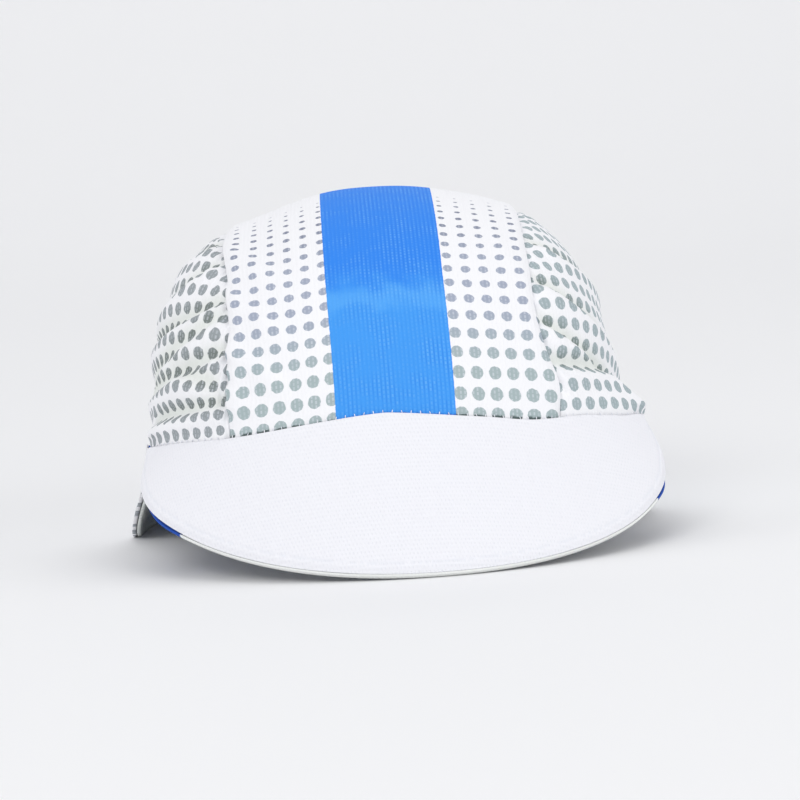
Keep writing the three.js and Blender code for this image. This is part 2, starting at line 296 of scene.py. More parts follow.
def centreHalf(side, angle):
    degrees = np.maximum(np.degrees(angle), 0)
    rows = centreSeams["angle"]
    left = curveThrough(rows, centreSeams["left"], degrees)
    right = curveThrough(rows, centreSeams["right"], degrees)
    return np.where(side < 0, left, right) * crown["halfWidth"]


def pointOver(turn, height, heightOf):
    turn = np.asarray(turn, float)
    climb = solve(
        np.full(turn.shape, -1.2),
        np.full(turn.shape, 0.8),
        lambda at: heightOf(skin(pointAtTurn(turn, at))) - height,
    )
    plain = pointAtTurn(turn, climb)
    return plain, skin(plain)


# Ends of an upright section of the crown, as angles round the side outline
def sectionEnds(across, distanceAt):
    zero = np.zeros(np.shape(across))

    def overAt(angle):
        return overRim(skin(pointAtSection(distanceAt(angle), angle)))

    front = solve(zero - 0.6, zero + 0.6, overAt)
    back = solve(zero - 0.8, zero + 0.6, lambda angle: overAt(math.pi - angle))
    return front, math.pi - back


# Inside of a wall. At the rim it stays level.
def inward(outside, plain, wall, atRim):
    normal = crownNormal(plain)
    level = normal * np.array([1.0, 1.0, 0.0])
    flat = outside - level * (wall / (level * level).sum(-1))[..., None]
    return np.where(atRim[..., None], flat, outside - normal * np.asarray(wall)[..., None])


# Mesh making
def gridShares(columns, rows):
    return np.meshgrid(np.linspace(0, 1, columns + 1), np.linspace(0, 1, rows + 1), indexing="ij")


# Moves a flat grid's vertices to the points of a table, which has a column for each step across
def layGrid(mesh, columns, rows, points):
    made = bmesh.ops.create_grid(mesh, x_segments=columns, y_segments=rows, size=1)["verts"]
    placed = []
    for vert in made:
        i = round((vert.co.x + 1) / 2 * columns)
        j = round((vert.co.y + 1) / 2 * rows)
        vert.co = points[i, j]
        placed.append((vert, i, j))
    return placed


def inFrame(points):
    return (points + toFrame) * mm


def finishObject(mesh, name, material):
    data = bpy.data.meshes.new(name)
    mesh.to_mesh(data)
    mesh.free()
    data.shade_smooth()
    piece = bpy.data.objects.new(name, data)
    bpy.context.scene.collection.objects.link(piece)
    data.materials.append(material)
    return piece


# A closed wall of cloth between an outside and an inside grid. The chart holds each point's place on the
# flat cloth in millimetres, and the marks are further values that the material reads.
def clothShell(name, outside, inside, chart, material, turned=False, edgeRoll=0.0, marks=None):
    columns, rows = outside.shape[0] - 1, outside.shape[1] - 1
    mesh = bmesh.new()
    cloth = mesh.loops.layers.uv.new("cloth")
    marks = marks or {}
    layers = {mark: mesh.verts.layers.float.new(mark) for mark in marks}
    chartOf = {}
    for points, reverse in ((outside, turned), (inside, not turned)):
        placed = layGrid(mesh, columns, rows, inFrame(points))
        for vert, i, j in placed:
            chartOf[vert] = chart[i, j] * chartScale
            for mark, layer in layers.items():
                vert[layer] = float(marks[mark][i, j])
        if reverse:
            faces = {face for vert, _, _ in placed for face in vert.link_faces}
            bmesh.ops.reverse_faces(mesh, faces=list(faces))
    rim = [edge for edge in mesh.edges if edge.is_boundary]
    bmesh.ops.bridge_loops(mesh, edges=rim)
    for face in mesh.faces:
        for loop in face.loops:
            loop[cloth].uv = chartOf[loop.vert]
    if edgeRoll:
        bmesh.ops.bevel(
            mesh, geom=rim, offset=edgeRoll * mm, segments=2, profile=0.5, affect="EDGES", material=-1
        )
    bmesh.ops.remove_doubles(mesh, verts=mesh.verts, dist=mergeDistance)
    return finishObject(mesh, name, material)


# Distance along each column of a table of points, from its first row
def alongColumns(points):
    steps = length(np.diff(points, axis=1))
    return np.concatenate([np.zeros((points.shape[0], 1)), np.cumsum(steps, 1)], 1)


# Centre panel. The stripe leans a little towards the left as it rises.
centre = {
    "columns": 120,
    "rows": 250,
    "edgeRoll": 0.3,
    # Height of each soft crease at the left seam, how it falls towards the middle, and its depth
    "creases": [
        {"height": 103.5, "fall": 0.4, "lift": 1.5},
        {"height": 90.5, "fall": 0.6, "lift": 1.7},
        {"height": 74, "fall": 0.62, "lift": 1.6},
        {"height": 58, "fall": 0.5, "lift": 1.0},
    ],
    "creaseStart": -52,
    "creaseEnd": -28,
    "creaseFade": 14,
    "creaseAbove": 2.4,
    "creaseBelow": 5.5,
    "topCrease": {"lift": 0.7, "across": 43, "fall": 0.45, "spread": 3.2, "height": 99, "length": 8},
    "frill": {"lift": 0.55, "slant": 0.5, "end": -45.5, "fade": 7, "top": 86, "topFade": 12},
    "rumple": 0.16,
    "stripeAcross": 3.6,
    "stripeBend": 1.0,
    "bendReach": 55,
    "stripeLean": 1.85,
    "leanStart": 20,
    "leanReach": 120,
    "rowStart": 0.346,
    "rowStep": 0.135,
    "rowGrowth": 0.000165,
    "rowChange": 110,
    "rowSag": 2.4,
    "sagMiddle": 56,
    "sagSpread": 38,
    "sagAcross": 30,
    "rearMargin": 3,
    "frontRows": 20,
}


# Soft creases beside the left seam, a shallow one at the right of the top, and slight rumples
def centreCreases(plain):
    x, y, z = np.moveaxis(plain, -1, 0)
    total = np.zeros(x.shape)
    for crease in centre["creases"]:
        off = z - crease["height"] + crease["fall"] * (x - centre["creaseStart"])
        shape = np.where(off > 0, bell(off / centre["creaseAbove"]), bell(off / centre["creaseBelow"]))
        total = total + crease["lift"] * shape
    total = total * smooth((centre["creaseEnd"] - x) / centre["creaseFade"])
    top = centre["topCrease"]
    off = x - top["across"] + top["fall"] * (z - top["height"])
    total = total + top["lift"] * bell(off / top["spread"]) * bell((z - top["height"] - 1) / top["length"])
    frill = centre["frill"]
    wave = np.cos(2 * math.pi * (z + frill["slant"] * x) / side["puckerPitch"])
    wave = wave * smooth((frill["top"] - z) / frill["topFade"])
    total = total + frill["lift"] * wave * smooth((frill["end"] - x) / frill["fade"])
    rumple = np.sin(0.33 * x + 0.21 * z + 1) * np.sin(0.17 * x - 0.24 * z + 0.1 * y)
    return (total + centre["rumple"] * rumple) * smooth(-y / 12) * smooth(overSeam(plain) / 8)


# Which row of dots a place is in, counted from the front seam or from the back of the rim
def rowOf(along):
    past = np.maximum(0, along - centre["rowChange"])
    v = along - past
    start = 0.1 * smooth(1 - (along + 1.8) / 5.5)
    grown = centre["rowStart"] + centre["rowStep"] * v + centre["rowGrowth"] * v * v
    return grown - start + past * (centre["rowStep"] + 2 * centre["rowChange"] * centre["rowGrowth"])


def makeCentrePanel(material):
    column, row = gridShares(centre["columns"], centre["rows"])
    across = 2 * column - 1

    def distanceAt(angle, across):
        return across * (centreHalf(across, angle) - crown["gap"] / 2)

    line = across[:, 0]
    first, last = sectionEnds(line, lambda angle: distanceAt(angle, line))
    angle = between(first[:, None], last[:, None], row)
    plain = pointAtSection(distanceAt(angle, across), angle)
    fromSeam = (1 - np.abs(across)) * centreHalf(across, 0 * across)
    outside = skin(plain, stepAt(plain, fromSeam) - seamGroove(fromSeam) + centreCreases(plain))
    atRim = (row == 0) | (row == 1)
    inside = inward(outside, plain, crown["wall"], atRim)
    along = alongColumns(skin(plain))
    over = overSeam(skin(plain))
    near = centre["frontRows"]
    front = [np.interp(0.0, over[i, :near], along[i, :near]) for i in range(len(along))]
    v = along - np.array(front)[:, None]
    lean = centre["stripeAcross"] - centre["stripeBend"] * smooth(v / centre["bendReach"])
    lean = lean - centre["stripeLean"] * smooth((v - centre["leanStart"]) / centre["leanReach"])
    chart = np.stack([plain[..., 0] - lean, v], -1)
    sag = centre["rowSag"] * bell((v - centre["sagMiddle"]) / centre["sagSpread"])
    sag = sag * smooth(-plain[..., 0] / centre["sagAcross"])
    fromRear = along[:, -1:] - along - centre["rearMargin"]
    marks = {"dotRow": rowOf(np.minimum(v + sag, fromRear))}
    return clothShell(
        "centrePanel", outside, inside, chart, material, edgeRoll=centre["edgeRoll"], marks=marks
    )


# Side panels. Each fold starts at the seam, at a turn from the front and a height, and falls as it
# goes round to its reach.
side = {
    "columns": 200,
    "rows": 140,
    "left": [
        {"start": 62, "height": 107.0, "fall": 0.5, "bend": 1, "lift": 1.2, "sink": 0.7, "reach": 122},
        {"start": 53, "height": 99.3, "fall": 1.45, "bend": 0.8, "lift": 1.9, "sink": 1.5, "reach": 118},
        {"start": 40.6, "height": 86.9, "fall": 1.05, "bend": 0.8, "lift": 2.0, "sink": 1.7, "reach": 112},
        {"start": 38.5, "height": 81.6, "fall": 1.5, "bend": 0.8, "lift": 1.7, "sink": 0.7, "reach": 100},
        {"start": 35.3, "height": 70, "fall": 1.08, "bend": 0.8, "lift": 1.8, "sink": 1.7, "reach": 92},
        {"start": 37, "height": 57.5, "fall": -0.25, "bend": 1, "lift": 1.2, "sink": 0.9, "reach": 66},
    ],
    "right": [
        {"start": 58, "height": 97.2, "fall": 1.2, "bend": 0.8, "lift": 1.8, "sink": 1.2, "reach": 118},
        {"start": 43.4, "height": 86.5, "fall": 0.95, "bend": 1, "lift": 2.0, "sink": 1.7, "reach": 104},
        {"start": 36.5, "height": 75.1, "fall": 1.04, "bend": 1, "lift": 1.9, "sink": 2.0, "reach": 84},
    ],
    "ledge": {
        "left": {"height": 5.6, "lift": 1.7, "sink": 1.9, "spread": 4, "slope": 0.06, "end": 64},
        "right": {"height": 13.3, "lift": 2.3, "sink": 1.8, "spread": 7.5, "slope": 0.09, "end": 60},
    },
    "foldSpread": 5,
    "atSeam": 0.35,
    "puckerPitch": 5.7,
    "puckerSlant": 0.8,
    "puckerReach": 7,
    "puckerDepth": {"left": 0.65, "right": 0.3},
    "seamLength": 225,
    "crumple": 0.9,
    "crumpleHeight": 36,
    "crumpleFade": 12,
}


# Profile of a fold: steep with a hollow over its crest, and easy below
def foldProfile(off, fold, spread):
    hollow = bell((off - 3.9) / 2.6)
    crest = np.where(off > 0, bell(off / 1.7), bell(off / spread))
    return fold["lift"] * crest - fold["sink"] * hollow, hollow


# A fold is lower at the seam that it starts from
def awayFromSeam(drop, reach):
    return between(side["atSeam"], 1, smooth(drop / reach))


# How far a side panel's folds stand out over the plain crown, and how hollow each place is, which the
# material paints as shade
def sideFolds(name, plain, drop, share):
    turn = np.abs(np.degrees(turnOf(plain)))
    z = plain[..., 2]
    total = np.zeros(z.shape)
    shade = np.zeros(z.shape)
    for fold in side[name]:
        past = turn - fold["start"]
        line = fold["height"] - fold["fall"] * np.maximum(past, 0) ** fold["bend"]
        fade = smooth((past + 3) / 4) * smooth((fold["reach"] - turn) / 22) * awayFromSeam(drop, 5)
        lift, hollow = foldProfile((z - line) * 0.8, fold, side["foldSpread"])
        total = total + lift * fade
        shade = np.maximum(shade, hollow * fade)
    ledge = side["ledge"][name]
    over = overSeam(plain)
    line = ledge["height"] - ledge["slope"] * (turn - 38) - 9 * smooth((turn - ledge["end"] + 4) / 9)
    fade = smooth((ledge["end"] + 14 - turn) / 12) * smooth(over / 3) * awayFromSeam(drop, 4)
    lift, hollow = foldProfile(over - line, ledge, ledge["spread"])
    total = total + lift * fade
    shade = np.maximum(shade, hollow * fade)
    way = share * side["seamLength"] + side["puckerSlant"] * drop
    pucker = np.cos(2 * math.pi * way / side["puckerPitch"]) * np.exp(-drop / side["puckerReach"])
    crumple = 1 + side["crumple"] * smooth((side["crumpleHeight"] - over) / side["crumpleFade"])
    total = total + side["puckerDepth"][name] * pucker * crumple * smooth(over / 6)
    return total * smooth(z / 6), shade


# Opens a curved grid out flat, in millimetres. Its last row runs level and its first column is at the left.
def openedFlat(points):
    columns, rows = points.shape[0] - 1, points.shape[1] - 1
    mesh = bmesh.new()
    mesh.loops.layers.uv.new("cloth")
    number = mesh.verts.layers.int.new("number")
    for vert, i, j in layGrid(mesh, columns, rows, points * mm):
        vert[number] = i * (rows + 1) + j
    bmesh.ops.remove_doubles(mesh, verts=mesh.verts, dist=mergeDistance)
    data = bpy.data.meshes.new("pattern")
    mesh.to_mesh(data)
    mesh.free()
    pattern = bpy.data.objects.new("pattern", data)
    bpy.context.scene.collection.objects.link(pattern)
    bpy.context.view_layer.objects.active = pattern
    pattern.select_set(True)
    bpy.ops.object.mode_set(mode="EDIT")
    bpy.ops.mesh.select_all(action="SELECT")
    bpy.ops.uv.unwrap(method="ANGLE_BASED", margin=0)
    bpy.ops.object.mode_set(mode="OBJECT")
    corner = np.zeros(len(data.loops), int)
    data.loops.foreach_get("vertex_index", corner)
    places = np.zeros(len(data.loops) * 2)
    data.uv_layers[0].uv.foreach_get("vector", places)
    numbers = np.zeros(len(data.vertices), int)
    data.attributes["number"].data.foreach_get("value", numbers)
    flat = np.full(((columns + 1) * (rows + 1), 2), np.nan)
    flat[numbers[corner]] = places.reshape(-1, 2)
    bpy.data.objects.remove(pattern)
    bpy.data.meshes.remove(data)
    flat = flat.reshape(columns + 1, rows + 1, 2)
    for end in (0, -1):
        flat[end] = flat[end][~np.isnan(flat[end][:, 0])][0]
    return flat


# Turns and scales a flat pattern so that its front corner is at zero and its rim runs level beside it
def setLevel(flat, points):
    columns = flat.shape[0] - 1
    ahead = int(columns * 0.3)
    real = length(np.diff(points[: ahead * 2, :], axis=0)).sum()
    drawn = length(np.diff(flat[: ahead * 2, :], axis=0)).sum()
    arm = flat[ahead, -1] - flat[0, -1]
    level = arm / length(arm)
    upright = np.array([-level[1], level[0]])
    if ((flat[ahead, 0] - flat[ahead, -1]) * upright).sum() < 0:
        upright = -upright
    moved = (flat - flat[0, -1]) * (real / drawn)
    return np.stack([(moved * level).sum(-1), (moved * upright).sum(-1)], -1)


def makeSidePanel(sign, material):
    column, row = gridShares(side["columns"], side["rows"])
    name = "left" if sign < 0 else "right"

    def distanceAt(angle):
        return sign * (centreHalf(sign + 0 * angle, angle) + crown["gap"] / 2)

    first, last = sectionEnds(np.array([float(sign)]), distanceAt)
    angle = between(first, last, column[:, 0])
    seam = pointAtSection(distanceAt(angle), angle)
    seamArm = unit(seam - crownCentre)
    turn = between(turnOf(seam[0]), turnOf(seam[-1]), column[:, 0])
    rimPlain, _ = pointOver(turn, 0.0, overRim)
    rimArm = unit(rimPlain - crownCentre)
    arm = unit(between(seamArm[:, None], rimArm[:, None], row[..., None]))
    plain = onCrown(arm)
    drop = row * length(seamArm - rimArm)[:, None] * crown["halfWidth"]
    lift, shade = sideFolds(name, plain, drop, column)
    outside = skin(plain, lift - stepAt(plain, drop) - seamGroove(drop) * (row < 1))
    inside = inward(outside, plain, crown["wall"], row == 1)
    for end in (0, -1):
        outside[end] = outside[end, 0]
        corner = np.broadcast_to(seam[end], outside[end].shape)
        inside[end] = inward(outside[end], corner, crown["wall"], row[end] >= 0)
    chart = setLevel(openedFlat(outside), outside)
    title = "sidePanelLeft" if sign < 0 else "sidePanelRight"
    return clothShell(
        title, outside, inside, chart, material, turned=sign > 0, marks={"hollow": shade}
    )


# Peak
peakPiece = {
    "columns": 220,
    "rows": 90,
    "rowPower": 1.6,
    "bevel": 0.25,
    "edgeRoll": 2.4,
    "edgeDrop": 0.9,
    "edgeShort": 0.9,
    "lip": 1.25,
    "lipWidth": 1.0,
    "lipEnd": 0.72,
    "lipFade": 0.22,
    "grooveInset": 3.4,
    "grooveDepth": 0.14,
    "grooveWidth": 0.6,
    # How far the seam at the front lies under the solids' line, from the left end to the right end
    "seamAcross": [-1, -0.75, -0.53, -0.25, 0, 0.3, 0.47, 0.68, 1],
    "seamLower": [1.2, 1.4, 2.0, 1.0, 0.6, 0.9, 1.9, 0.1, -0.3],
    # How far each corner swells out, left and right
    "cornerSwell": (1.3, 2.6),
    "cornerAcross": 0.86,
    "cornerSpread": 0.09,
    # Where the under cloth hangs out past the edge near the ends
    "sags": [
        {"across": -0.6, "spread": 0.08, "depth": 0.8},
        {"across": 0.62, "spread": 0.07, "depth": 0.7},
    ],
    # Where the seam allowances of the crown puff the top cloth up
    "puffs": [
        {"across": -0.53, "spread": 0.07, "height": 0.9},
        {"across": 0.6, "spread": 0.05, "height": 0.5},
    ],
}


def frontSeam(across):
    return pointOver(across * rad(peak["tipTurn"]), 0.0, overSeam)[1]


def conePatternOf(points):
    arm = points - peakAxis
    radius = np.hypot(arm[..., 0], arm[..., 1]) - peak["round"]
    height = points[..., 2] - peakSeatHeight
    turn = np.arctan2(arm[..., 0], -arm[..., 1])
    return turn, radius * peakCos - height * peakSin, radius * peakSin + height * peakCos


def conePoint(turn, way, lift):
    radius = peak["round"] + way * peakCos + lift * peakSin
    height = peakSeatHeight - way * peakSin + lift * peakCos
    return point(peakAxis[0] + radius * np.sin(turn), peakAxis[1] - radius * np.cos(turn), height)


edgePower = 2 / peak["squareness"]
tipTurn, tipWay, tipLift = conePatternOf(frontSeam(np.array([-1.0, 1.0])))
tipEnd = np.arccos((tipWay / peak["depth"]) ** (1 / edgePower))


def peakEdge(across):
    end = bySide(tipEnd, across)
    angle = end * np.abs(across)
    span = (np.sin(angle) / np.sin(end)) ** edgePower
    depth = np.cos(angle) ** edgePower
    ahead = (depth - np.cos(end) ** edgePower) * (peak["skew"] / peak["round"])
    lift = bySide(tipLift, across) * span**6 + bySide(peak["overhang"], across) * np.sin(math.pi * span**3)
    return conePoint(span * bySide(tipTurn, across) + ahead, peak["depth"] * depth, lift)


def peakFrame(across):
    at = np.clip(across, -0.93, 0.93)

    def middle(value):
        return (frontSeam(value) + peakEdge(value)) / 2

    down = unit(peakEdge(at) - frontSeam(at))
    return unit(np.cross(down, middle(at + 0.02) - middle(at - 0.02))), down


def offCrown(points):
    beside = pointOver(turnOf(points), points[..., 2], lambda at: at[..., 2])[1]
    return np.hypot(points[..., 0], points[..., 1]) - np.hypot(beside[..., 0], beside[..., 1])


# Everything that the peak's layers share, worked out once for each step across
def peakLines():
    across = np.linspace(-1, 1, peakPiece["columns"] + 1)
    seam, edge = frontSeam(across), peakEdge(across)
    off, down = peakFrame(across)
    sideways = np.sign(across)[:, None] * np.array([1.0, 0.0, 0.0])
    sideways = sideways - off * (sideways * off).sum(-1)[:, None]
    swell = bySide(peakPiece["cornerSwell"], across) * smooth((1 - np.abs(across)) / 0.05)
    swell = swell * bell((np.abs(across) - peakPiece["cornerAcross"]) / peakPiece["cornerSpread"])
    edge = edge + sideways * swell[:, None]
    lower = curveThrough(peakPiece["seamAcross"], peakPiece["seamLower"], across)[:, None] * up
    out = unit(seam * np.array([1.0, 1.0, 0.0]))
    reach = length(seam - edge)
    wallShare = between(peak["tipWall"], 1, smooth(reach / peak["tipReach"]))
    levelGap = crown["gap"] / peakSin

    def rootAt(thick):
        base = seam - off * thick[:, None]
        low = np.zeros(len(across))
        way = solve(low, reach / 2, lambda at: offCrown(base + down * at[:, None]) - levelGap, 18)
        return base + down * way[:, None]

    clear = np.maximum(2.2 * levelGap - offCrown(rootAt(peakThickness * wallShare)), 0)[:, None] * out
    rows = 1 - (1 - np.linspace(0, 1, peakPiece["rows"] + 1)) ** peakPiece["rowPower"]

    def layer(depth, short=0.0):
        root = rootAt(depth * wallShare) + clear - lower
        end = edge - (off * depth + down * short) * wallShare[:, None] + clear
        return between(root[:, None], end[:, None], rows[None, :, None])

    lipShare = smooth((peakPiece["lipEnd"] - np.abs(across)) / peakPiece["lipFade"])[:, None]
    return {
        "layer": layer,
        "across": across,
        "off": off,
        "out": out,
        "wallShare": wallShare,
        "lipShare": lipShare,
    }


# The peak's cloth laid flat
def flatPeak(points):
    turn, way, _ = conePatternOf(points)
    radius = peak["round"] / peakCos
    distance = radius + way
    return np.stack([distance * np.sin(turn * peakCos), distance * np.cos(turn * peakCos) - radius], -1)


# The top cloth stops a little short of the edge, with a seam line beside it
def makePeakTop(lines, material):
    short = peakPiece["edgeShort"] * lines["lipShare"]
    outside = lines["layer"](0.0, short)
    inset = length(outside - outside[:, -1:])
    fromSeam = length(outside - outside[:, :1])
    share = lines["wallShare"][:, None]
    lift = -peakPiece["edgeDrop"] * share * smooth(1 - inset / peakPiece["edgeRoll"])
    fromGroove = inset - peakPiece["grooveInset"] * share
    groove = bell(fromGroove / peakPiece["grooveWidth"]) * smooth(fromSeam / 6)
    lift = lift - peakPiece["grooveDepth"] * groove
    for puff in peakPiece["puffs"]:
        beside = bell((lines["across"][:, None] - puff["across"]) / puff["spread"])
        lift = lift + puff["height"] * beside * bell((fromSeam - 3) / 3.2) * smooth(fromSeam / 1.5)
    outside = outside + lines["off"][:, None] * lift[..., None]
    inside = lines["layer"](peak["topWall"], short)
    return clothShell(
        "peakTop",
        outside,
        inside,
        flatPeak(outside),
        material,
        turned=True,
        edgeRoll=peakPiece["bevel"],
        marks={"seamLine": groove},
    )


# The under cloth turns up round the edge in a narrow lip
def makePeakUnder(lines, material):
    short = np.zeros((len(lines["across"]), 1))
    for sag in peakPiece["sags"]:
        short = short - sag["depth"] * bell((lines["across"][:, None] - sag["across"]) / sag["spread"])
    outside = lines["layer"](peak["topWall"] + crown["gap"], short)
    inset = length(outside - outside[:, -1:])
    share = lines["wallShare"][:, None]
    lip = smooth((peakPiece["lipWidth"] * share - inset) / 0.35) * (1 - 0.35 * bell(inset / 0.3))
    height = peakPiece["lip"] * share * lines["lipShare"] * lip
    outside = outside + lines["off"][:, None] * height[..., None]
    inside = lines["layer"](peakThickness, short)
    return clothShell(
        "peakUnder", outside, inside, flatPeak(outside), material, turned=True, edgeRoll=peakPiece["bevel"]
    )


# Small stitches that hold the peak to the crown
stitches = {
    "pitch": 3.1,
    "half": 0.55,
    "radius": 0.17,
    "slant": 0.35,
    "leanIn": 0.3,
    "raised": 0.25,
    "sunk": 0.1,
}


def makeFrontStitches(lines, material):
    root = lines["layer"](0.0)[:, 0]
    way = np.concatenate([[0], np.cumsum(length(np.diff(root, axis=0)))])
    mesh = bmesh.new()
    for number in range(2, int(way[-1] / stitches["pitch"]) - 1):
        at = np.interp(number * stitches["pitch"], way, np.arange(len(way)))
        spot = np.array([np.interp(at, np.arange(len(way)), root[:, axis]) for axis in range(3)])
        out = lines["out"][int(at)]
        aside = np.array([-out[1], out[0], 0.0])
        slant = stitches["slant"] * math.sin(2.4 * number)
        arm = Vector(unit(up - stitches["leanIn"] * out + slant * aside))
        place = Vector(inFrame(spot + stitches["raised"] * up - stitches["sunk"] * out))
        turned = arm.to_track_quat("Z", "Y").to_matrix().to_4x4()
        stretched = Matrix.Diagonal((1, 1, stitches["half"] / stitches["radius"], 1))
        bmesh.ops.create_uvsphere(
            mesh,
            u_segments=6,
            v_segments=4,
            radius=stitches["radius"] * mm,
            matrix=Matrix.Translation(place) @ turned @ stretched,
        )
    return finishObject(mesh, "frontStitches", material)


# Hem inside the rim
hem = {"columns": 300, "rows": 8, "height": 13, "wall": 1.2, "slack": 1.4, "clothLength": 400}


def makeHemBand(material):
    column, row = gridShares(hem["columns"], hem["rows"])
    first = rad(peak["tipTurn"])
    turn = -(first + (2 * math.pi - 2 * first) * column)
    height = hem["height"] * (1 - row)
    plain, outer = pointOver(turn, height, overRim)
    slack = crown["wall"] + crown["gap"] + hem["slack"] * (1 - row)
    outside = inward(outer, plain, slack, row == 1)
    inside = inward(outer, plain, slack + hem["wall"], row == 1)
    chart = np.stack([column * hem["clothLength"], height], -1)
    return clothShell("hemBand", outside, inside, chart, material)


# Materials
def tint(red, green, blue):
    values = [v / 255 for v in (red, green, blue)]
    return [v / 12.92 if v <= 0.04045 else ((v + 0.055) / 1.055) ** 2.4 for v in values] + [1.0]


def newMaterial(name, colour, roughness=0.85):
    material = bpy.data.materials.new(name)
    material.use_nodes = True
    shader = material.node_tree.nodes["Principled BSDF"]
    shader.inputs["Base Color"].default_value = colour
    shader.inputs["Roughness"].default_value = roughness
    return material


def plug(tree, value, socket):
    if isinstance(value, bpy.types.NodeSocket):
        tree.links.new(value, socket)
    else:
        socket.default_value = value


def calc(tree, operation, *values):
    node = tree.nodes.new("ShaderNodeMath")
    node.operation = operation
    for value, socket in zip(values, node.inputs):
        plug(tree, value, socket)
    return node.outputs[0]


def plus(tree, *values):
    return calc(tree, "ADD", *values)


def minus(tree, *values):
    return calc(tree, "SUBTRACT", *values)


def times(tree, *values):
    return calc(tree, "MULTIPLY", *values)


# 0 below low, 1 above high, with an easy step between
def ease(tree, value, low, high):
    node = tree.nodes.new("ShaderNodeMapRange")
    node.interpolation_type = "SMOOTHSTEP"
    for setting, name in ((value, "Value"), (low, "From Min"), (high, "From Max")):
        plug(tree, setting, node.inputs[name])
    return node.outputs["Result"]


def easeDown(tree, value, low, high):
    return minus(tree, 1.0, ease(tree, value, low, high))


def mixTints(tree, share, first, second):
    node = tree.nodes.new("ShaderNodeMix")
    node.data_type = "RGBA"
    for setting, socket in ((share, node.inputs[0]), (first, node.inputs[6]), (second, node.inputs[7])):
        plug(tree, setting, socket)
    return node.outputs[2]


def noiseAt(tree, kind, across, along):
    node = tree.nodes.new(kind)
    node.noise_dimensions = "2D"
    place = tree.nodes.new("ShaderNodeCombineXYZ")
    plug(tree, across, place.inputs[0])
    plug(tree, along, place.inputs[1])
    tree.links.new(place.outputs[0], node.inputs["Vector"])
    return node


def speckle(tree, across, along):
    return noiseAt(tree, "ShaderNodeTexWhiteNoise", across, along).outputs["Value"]


def cloud(tree, across, along, scale, detail=2.0):
    node = noiseAt(tree, "ShaderNodeTexNoise", across, along)
    node.inputs["Scale"].default_value = scale
    node.inputs["Detail"].default_value = detail
    return node.outputs["Fac"]


# A cloud that strays as far under zero as over it
def waver(tree, across, along, scale, amount):
    return times(tree, minus(tree, cloud(tree, across, along, scale), 0.5), amount)


# Place on the flat cloth, in millimetres
def clothPlace(tree):
    node = tree.nodes.new("ShaderNodeUVMap")
    node.uv_map = "cloth"
    apart = tree.nodes.new("ShaderNodeSeparateXYZ")
    tree.links.new(node.outputs["UV"], apart.inputs[0])
    return times(tree, apart.outputs[0], 1 / chartScale), times(tree, apart.outputs[1], 1 / chartScale)


def markOf(tree, name):
    node = tree.nodes.new("ShaderNodeAttribute")
    node.attribute_name = name
    return node.outputs["Fac"]


knit = {"pitch": 1.4, "dash": 1.5, "faintest": 0.35, "depth": 0.06, "dashHeight": 0.6, "onDots": 0.5}


# Ribs of the knit and the light dashes of yarn on them. Returns the height, the dashes and the crests.
def ribKnit(tree, across, along):
    rib = calc(tree, "DIVIDE", across, knit["pitch"])
    number = calc(tree, "FLOOR", rib)
    inRib = calc(tree, "PINGPONG", times(tree, rib, 2), 1)
    start = times(tree, speckle(tree, number, 3.0), 9)
    step = plus(tree, calc(tree, "DIVIDE", along, knit["dash"]), start)
    inStep = calc(tree, "PINGPONG", times(tree, step, 2), 1)
    spread = times(tree, speckle(tree, number, calc(tree, "FLOOR", step)), 1 - knit["faintest"])
    strength = plus(tree, spread, knit["faintest"])
    crest = ease(tree, inRib, 0.35, 0.85)
    dashes = times(tree, times(tree, crest, ease(tree, inStep, 0.1, 0.5)), strength)
    height = plus(tree, inRib, times(tree, dashes, knit["dashHeight"]))
    return height, dashes, inRib


# Gives the surface its colour and its relief, in millimetres
def finishCloth(tree, colour, height, depth):
    shader = tree.nodes["Principled BSDF"]
    tree.links.new(colour, shader.inputs["Base Color"])
    node = tree.nodes.new("ShaderNodeBump")
    node.inputs["Strength"].default_value = 1.0
    node.inputs["Distance"].default_value = depth * mm
    tree.links.new(height, node.inputs["Height"])
    tree.links.new(node.outputs[0], shader.inputs["Normal"])


# 1 inside a round dot, from how far a place is from its middle each way
def dotMask(tree, offAcross, offAlong, radius, ragged):
    square = plus(tree, calc(tree, "POWER", offAcross, 2.0), calc(tree, "POWER", offAlong, 2.0))
    off = plus(tree, calc(tree, "SQRT", square), ragged)
    inside = minus(tree, radius, off)
    return ease(tree, inside, -0.12, 0.16)


def offGrid(tree, place, pitch):
    cell = calc(tree, "ROUND", calc(tree, "DIVIDE", place, pitch))
    return minus(tree, place, times(tree, cell, pitch)), cell


whiteCloth = tint(250, 250, 253)
# painted shade for the ground in the side panels' fold hollows
shadedCloth = tint(236, 239, 235)
yarnLight = tint(226, 230, 238)

stripe = {
    "half": 19.7,
    # painted light: lighter blue below where the front faces the lamps, darker above where the crown turns
    # away, and a painted highlight band at the bend
    "lower": tint(62, 157, 247),
    "upperShaded": tint(40, 136, 244),
    "light": tint(96, 180, 253),
    "dash": tint(124, 194, 255),
    # painted shade in the furrows between the ribs
    "furrowShade": tint(34, 118, 226),
    # painted shade where the stripe turns under at the front seam
    "edge": tint(28, 92, 205),
    "change": (38, 56),
    "band": (33, 39, 41, 48),
    "bandStrength": 0.45,
    "uneven": 14,
}
centreDots = {
    "radius": 2.2,
    "ragged": 0.5,
    "lastRow": 18,
    "rightStart": 21.6,
    "rightPitch": 5.98,
    "leftStart": 20.6,
    "leftPitch": 5.85,
    "rowPitch": 6.6,
    # where the painted shade along the front seam starts and ends, and the dots' tint in it
    "seam": (-1.8, -1.2),
    "low": tint(170, 186, 188),
    "middle": tint(166, 174, 193),
    "high": tint(128, 134, 155),
    "cut": tint(88, 102, 102),
}


